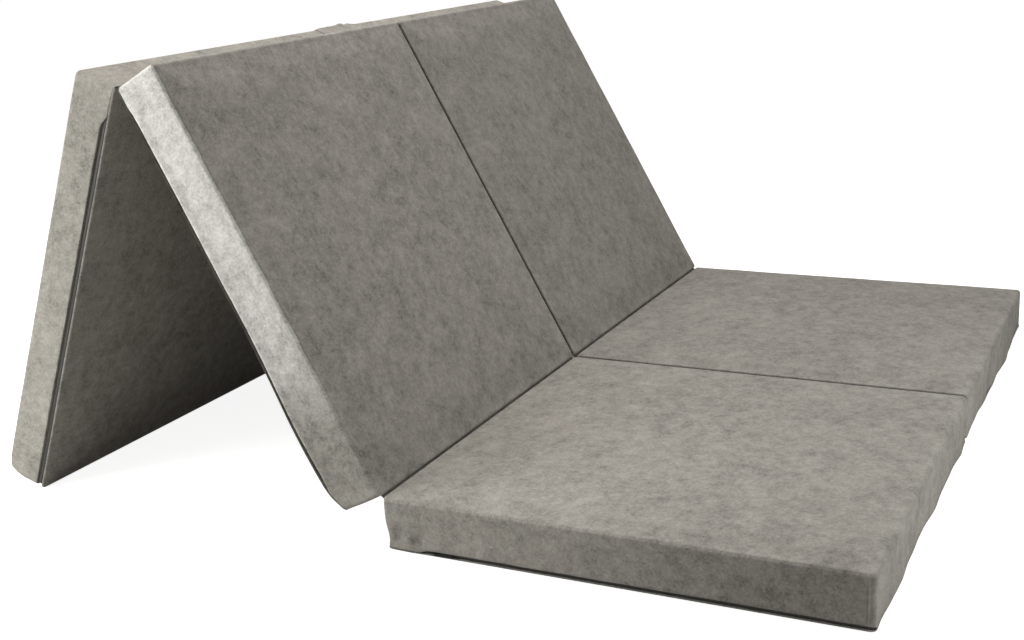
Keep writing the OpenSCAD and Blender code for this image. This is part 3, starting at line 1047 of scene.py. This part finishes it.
def make_camera():
    """The viewpoint: a long lens from the front left, a little above the seat, turned slightly."""
    azimuth, elevation, roll = math.radians(26.18), math.radians(13.63), math.radians(-2.51)
    target, distance = Vector((-0.166, 0.125, 0.2)), 2.636
    level = math.cos(elevation)
    back = Vector((math.sin(azimuth) * level, -math.cos(azimuth) * level, math.sin(elevation)))
    right = (-back).cross(Vector((0, 0, 1))).normalized()
    up = right.cross(-back)
    turned_right = right * math.cos(roll) + up * math.sin(roll)
    turned_up = -right * math.sin(roll) + up * math.cos(roll)
    lens = bpy.data.cameras.new("camera")
    lens.sensor_width = 36
    lens.lens = 50.87
    lens.shift_y = -0.05859375
    camera = add_object("camera", lens)
    rotation = Matrix((turned_right, turned_up, back)).transposed().to_4x4()
    camera.matrix_world = Matrix.Translation(target + back * distance) @ rotation
    bpy.context.scene.camera = camera


def make_floor():
    """A pale floor that shows white to the camera and keeps the shadow."""
    size, clear, white = 30, 0.0008, 0.88
    mesh = bpy.data.meshes.new("floor")
    corners = [(-size, -size, 0), (size, -size, 0), (size, size, 0), (-size, size, 0)]
    mesh.from_pydata(corners, [], [(0, 1, 2, 3)])
    floor = add_object("floor", mesh)
    floor.location.z = -clear
    material, nodes, links, shader = node_tree("floor")
    shader.inputs["Base Color"].default_value = (0.62, 0.62, 0.61, 1)
    shader.inputs["Roughness"].default_value = 1.0
    shader.inputs["Specular IOR Level"].default_value = 0.0
    path = nodes.new("ShaderNodeLightPath")
    glow = nodes.new("ShaderNodeMath")
    glow.operation = "MULTIPLY"
    glow.inputs[1].default_value = white
    links.new(path.outputs["Is Camera Ray"], glow.inputs[0])
    shader.inputs["Emission Color"].default_value = (1, 1, 1, 1)
    links.new(glow.outputs[0], shader.inputs["Emission Strength"])
    mesh.materials.append(material)


def make_lamp(name, place, aim, size, power, colour):
    """A square lamp at a place, facing its aim."""
    light = bpy.data.lights.new(name, "AREA")
    light.size = size
    light.energy = power
    light.color = colour
    lamp = add_object(name, light)
    facing = (Vector(aim) - Vector(place)).to_track_quat("-Z", "Y")
    lamp.matrix_world = Matrix.Translation(place) @ facing.to_matrix().to_4x4()


def make_world():
    """A white studio that is dimmer as a light than as it looks to the camera and in reflections."""
    light_level, seen_level = 0.22, 1.0
    world = bpy.data.worlds.new("studio")
    bpy.context.scene.world = world
    world.use_nodes = True
    nodes, links = world.node_tree.nodes, world.node_tree.links
    ground = nodes["Background"]
    ground.inputs["Color"].default_value = (1.0, 1.0, 1.0, 1)
    path = nodes.new("ShaderNodeLightPath")
    seen = nodes.new("ShaderNodeMath")
    seen.operation = "MAXIMUM"
    links.new(path.outputs["Is Camera Ray"], seen.inputs[0])
    links.new(path.outputs["Is Glossy Ray"], seen.inputs[1])
    level = nodes.new("ShaderNodeMapRange")
    level.inputs["To Min"].default_value = light_level
    level.inputs["To Max"].default_value = seen_level
    links.new(seen.outputs[0], level.inputs["Value"])
    links.new(level.outputs["Result"], ground.inputs["Strength"])


make_camera()
make_floor()
make_world()
make_lamp("key", (-1.3, -1.5, 0.75), (-0.7, 0.2, 0.3), 0.9, 24, (0.97, 1.0, 0.98))
make_lamp("over", (-0.8, -0.1, 2.4), (0.2, -0.1, 0.1), 1.5, 52, (1.0, 0.99, 0.97))
make_lamp("right", (1.6, -0.3, 0.38), (0.5, -0.25, 0.1), 0.6, 7.5, (0.96, 1.0, 0.99))

bpy.context.scene.view_settings.view_transform = "Standard"
